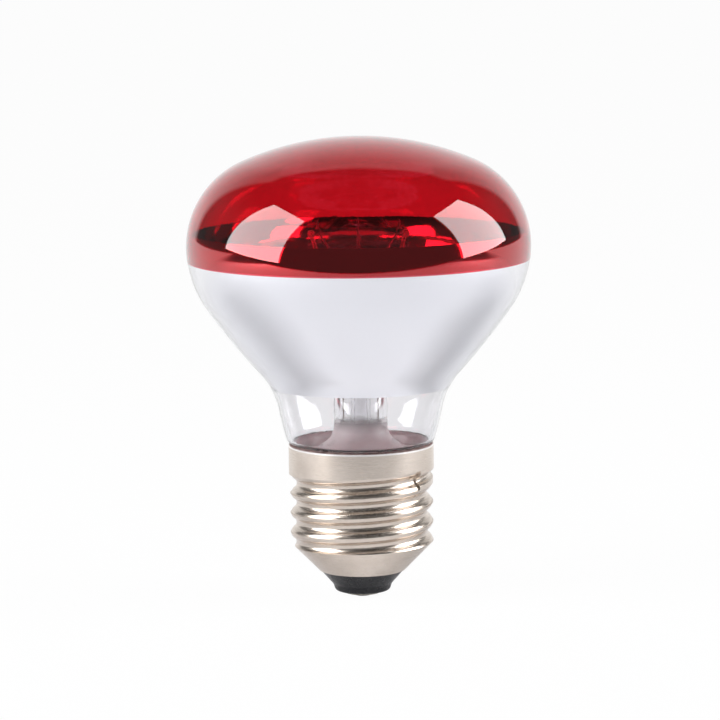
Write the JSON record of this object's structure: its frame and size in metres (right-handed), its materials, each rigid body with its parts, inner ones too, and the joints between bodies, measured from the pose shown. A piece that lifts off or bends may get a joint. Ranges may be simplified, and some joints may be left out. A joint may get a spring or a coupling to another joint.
{
  "type": "infrared heat lamp bulb",
  "caption": "Reflector heat lamp with a red lacquered glass front, mirrored flank, clear neck and screw cap.",
  "frame": {"origin": "tip of the centre contact, on the lamp's axis", "axes": "+Z along the lamp's axis, from the centre contact towards the red front"},
  "size_m": [0.0628, 0.0628, 0.0846],
  "materials": {
    "clear_glass": "clear blown soda glass, polished",
    "mirror": "vapour-coated aluminium mirror",
    "red_lacquer": "translucent red lacquer, glossy",
    "stem_glass": "clear lead glass, fire polished",
    "nickel_wire": "drawn nickel wire",
    "copper_wire": "copper-clad wire",
    "tungsten": "dark tungsten coil",
    "support_wire": "drawn molybdenum wire",
    "cap_metal": "rolled brass with satin nickel plate",
    "black_glass": "pressed black glass",
    "contact_metal": "nickel-plated brass",
    "solder": "soft solder",
    "cement": "baked brown basing cement"
  },
  "bodies": {
    "root": {"glass_envelope": "clear_glass", "mirror_film": "mirror", "red_lacquer": "red_lacquer", "stem_flare": "stem_glass", "exhaust_tube": "stem_glass", "arbor": "stem_glass", "inner_lead_left": "nickel_wire", "inner_lead_right": "nickel_wire", "seal_wire_left": "copper_wire", "seal_wire_right": "copper_wire", "side_lead": "copper_wire", "centre_lead": "copper_wire", "filament": "tungsten", "support_wire_1": "support_wire", "support_wire_2": "support_wire", "support_wire_3": "support_wire", "cap_shell": "cap_metal", "cap_insulator": "black_glass", "contact_eyelet": "contact_metal", "centre_solder": "solder", "side_solder": "solder", "basing_cement": "cement"}
  },
  "joints": []
}
